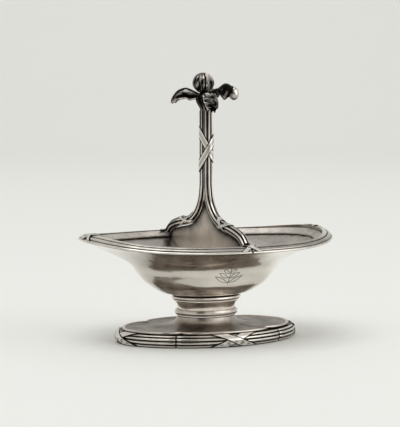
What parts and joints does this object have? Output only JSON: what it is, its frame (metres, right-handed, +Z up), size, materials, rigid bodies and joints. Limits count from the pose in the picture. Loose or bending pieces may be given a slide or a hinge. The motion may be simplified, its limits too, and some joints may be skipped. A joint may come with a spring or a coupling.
{
  "type": "salt cellar",
  "caption": "Double salt cellar: boat-shaped oval bowl on a reeded oval foot, parted by an upright plate framed by ribbon-tied branches that carry an iris flower.",
  "frame": {"origin": "middle of the foot's underside, on the surface that the foot stands on", "axes": "+Z up, X along the bowl's length, Y across it in the plane of the divider and the handle"},
  "size_m": [0.1198, 0.0956, 0.1202],
  "materials": {
    "body_silver": "raised and spun sheet silver, satin, lightly tarnished",
    "border_silver": "drawn and cast reeded silver, dark in the grooves",
    "ribbon_silver": "flat silver strip, bright on its worn faces",
    "flower_silver": "cast and chased silver, darkly oxidised"
  },
  "bodies": {
    "root": {"foot_plate": "body_silver", "neck_spool": "body_silver", "bowl_collar": "body_silver", "bowl_shell": "body_silver", "rim_flange": "body_silver", "divider_plate": "body_silver", "foot_border_front": "border_silver", "foot_border_back": "border_silver", "foot_border_left": "border_silver", "foot_border_right": "border_silver", "rim_border_left": "border_silver", "rim_border_right": "border_silver", "neck_bead_ring": "border_silver", "handle_branch_front": "border_silver", "handle_branch_back": "border_silver", "foot_ribbon_front": "ribbon_silver", "foot_ribbon_back": "ribbon_silver", "foot_ribbon_left": "ribbon_silver", "foot_ribbon_right": "ribbon_silver", "rim_ribbon_front": "ribbon_silver", "rim_ribbon_back": "ribbon_silver", "rim_ribbon_left": "ribbon_silver", "rim_ribbon_right": "ribbon_silver", "handle_ribbon": "ribbon_silver", "leg_ribbon_front": "ribbon_silver", "leg_ribbon_back": "ribbon_silver", "flower_calyx": "flower_silver", "flower_fall_left": "flower_silver", "flower_fall_right": "flower_silver", "flower_fall_front": "flower_silver", "flower_standard_back": "flower_silver", "flower_standard_left": "flower_silver", "flower_standard_right": "flower_silver"}
  },
  "joints": []
}
